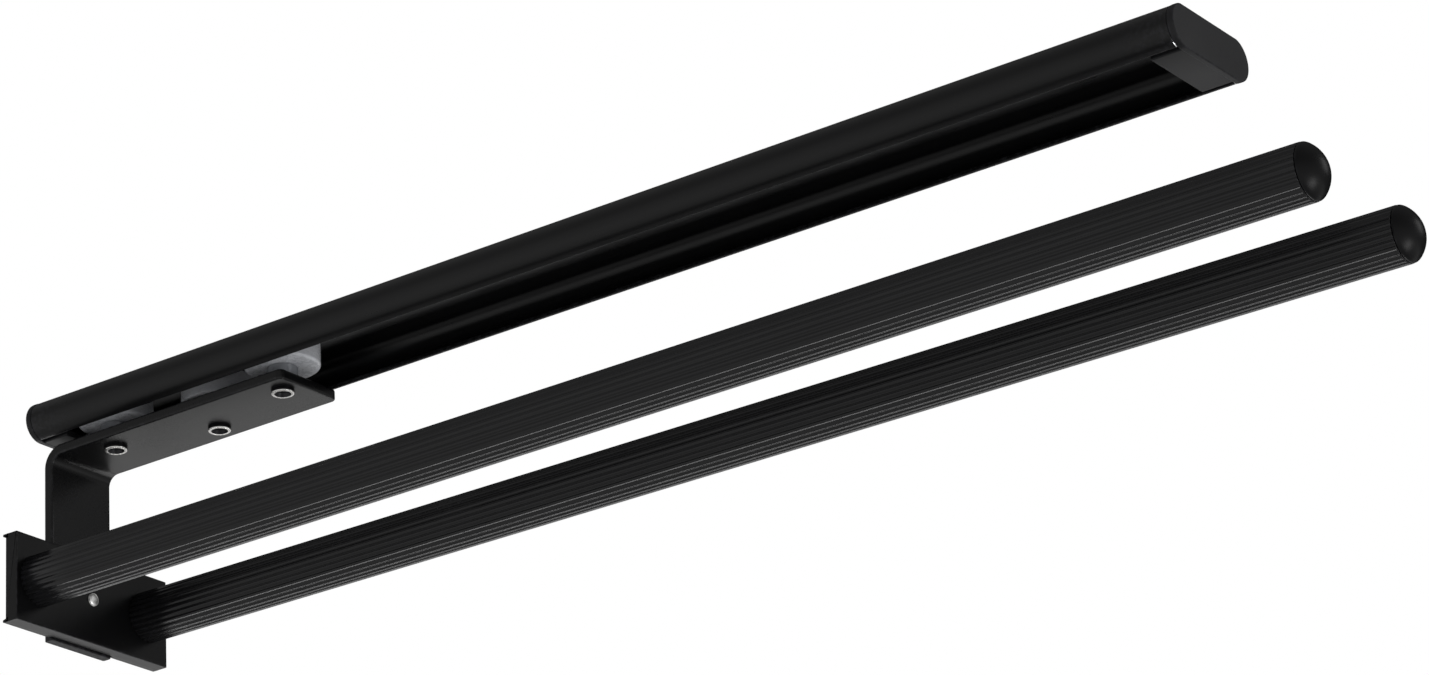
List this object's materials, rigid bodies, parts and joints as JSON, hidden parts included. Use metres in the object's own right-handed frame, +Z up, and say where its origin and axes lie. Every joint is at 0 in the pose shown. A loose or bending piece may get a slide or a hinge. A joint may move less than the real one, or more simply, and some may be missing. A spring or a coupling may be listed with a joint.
{
  "type": "towel rack",
  "caption": "Pull-out towel rail: ribbed arms on a carriage that rolls in a channel rail fixed under a shelf.",
  "frame": {"origin": "centre of the rail's flat top face, which is screwed up against the underside of a shelf", "axes": "+X the way the arms pull out, +Z up, +Y across the rail"},
  "size_m": [0.4511, 0.066, 0.077],
  "materials": {
    "rail_coat": "black satin coat on extruded aluminium",
    "end_cap_plastic": "dark grey moulded plastic, fine texture",
    "bracket_coat": "black semi-gloss coat on steel strip",
    "plate_coat": "black satin coat on extruded aluminium",
    "bright_steel": "bright nickel plate",
    "bush_steel": "turned",
    "roller_plastic": "natural milky acetal, moulded",
    "arm_finish": "black anodised, ribbed",
    "arm_cap_plastic": "black moulded plastic, matte",
    "plug_aluminium": "turned",
    "black_steel": "black oxide"
  },
  "bodies": {
    "rail_body": {"rail": "rail_coat", "front_end_cap": "end_cap_plastic", "rear_end_cap": "end_cap_plastic"},
    "carriage": {"bracket": "bracket_coat", "arm_plate": "plate_coat", "plate_screw": "bright_steel", "bush_rear": "bush_steel", "bush_middle": "bush_steel", "bush_front": "bush_steel", "rivet_rear": "bright_steel", "rivet_middle": "bright_steel", "rivet_front": "bright_steel", "arm_near": "arm_finish", "arm_far": "arm_finish", "arm_cap_near": "arm_cap_plastic", "arm_cap_far": "arm_cap_plastic", "arm_plug_near": "plug_aluminium", "arm_plug_far": "plug_aluminium", "arm_screw_near": "black_steel", "arm_screw_far": "black_steel"},
    "roller_rear_body": {"roller_rear": "roller_plastic"},
    "roller_middle_body": {"roller_middle": "roller_plastic"},
    "roller_front_body": {"roller_front": "roller_plastic"}
  },
  "joints": [
    {"name": "carriage_slide", "type": "slide", "parent": "rail_body", "child": "carriage", "axis": [1, 0, 0], "range_m": [0, 0.295]},
    {"name": "roller_rear_spin", "type": "hinge", "parent": "carriage", "child": "roller_rear_body", "pos_m": [-0.181, -0.0048, -0.0065], "axis": [0, 0, 1], "continuous": true},
    {"name": "roller_middle_spin", "type": "hinge", "parent": "carriage", "child": "roller_middle_body", "pos_m": [-0.1474, 0.0048, -0.0065], "axis": [0, 0, 1], "continuous": true},
    {"name": "roller_front_spin", "type": "hinge", "parent": "carriage", "child": "roller_front_body", "pos_m": [-0.1138, -0.0048, -0.0065], "axis": [0, 0, 1], "continuous": true}
  ],
  "couplings": [
    {"joint": "roller_rear_spin", "follows": "carriage_slide", "rad_per_m": -86.957},
    {"joint": "roller_middle_spin", "follows": "carriage_slide", "rad_per_m": 86.957},
    {"joint": "roller_front_spin", "follows": "carriage_slide", "rad_per_m": -86.957}
  ]
}
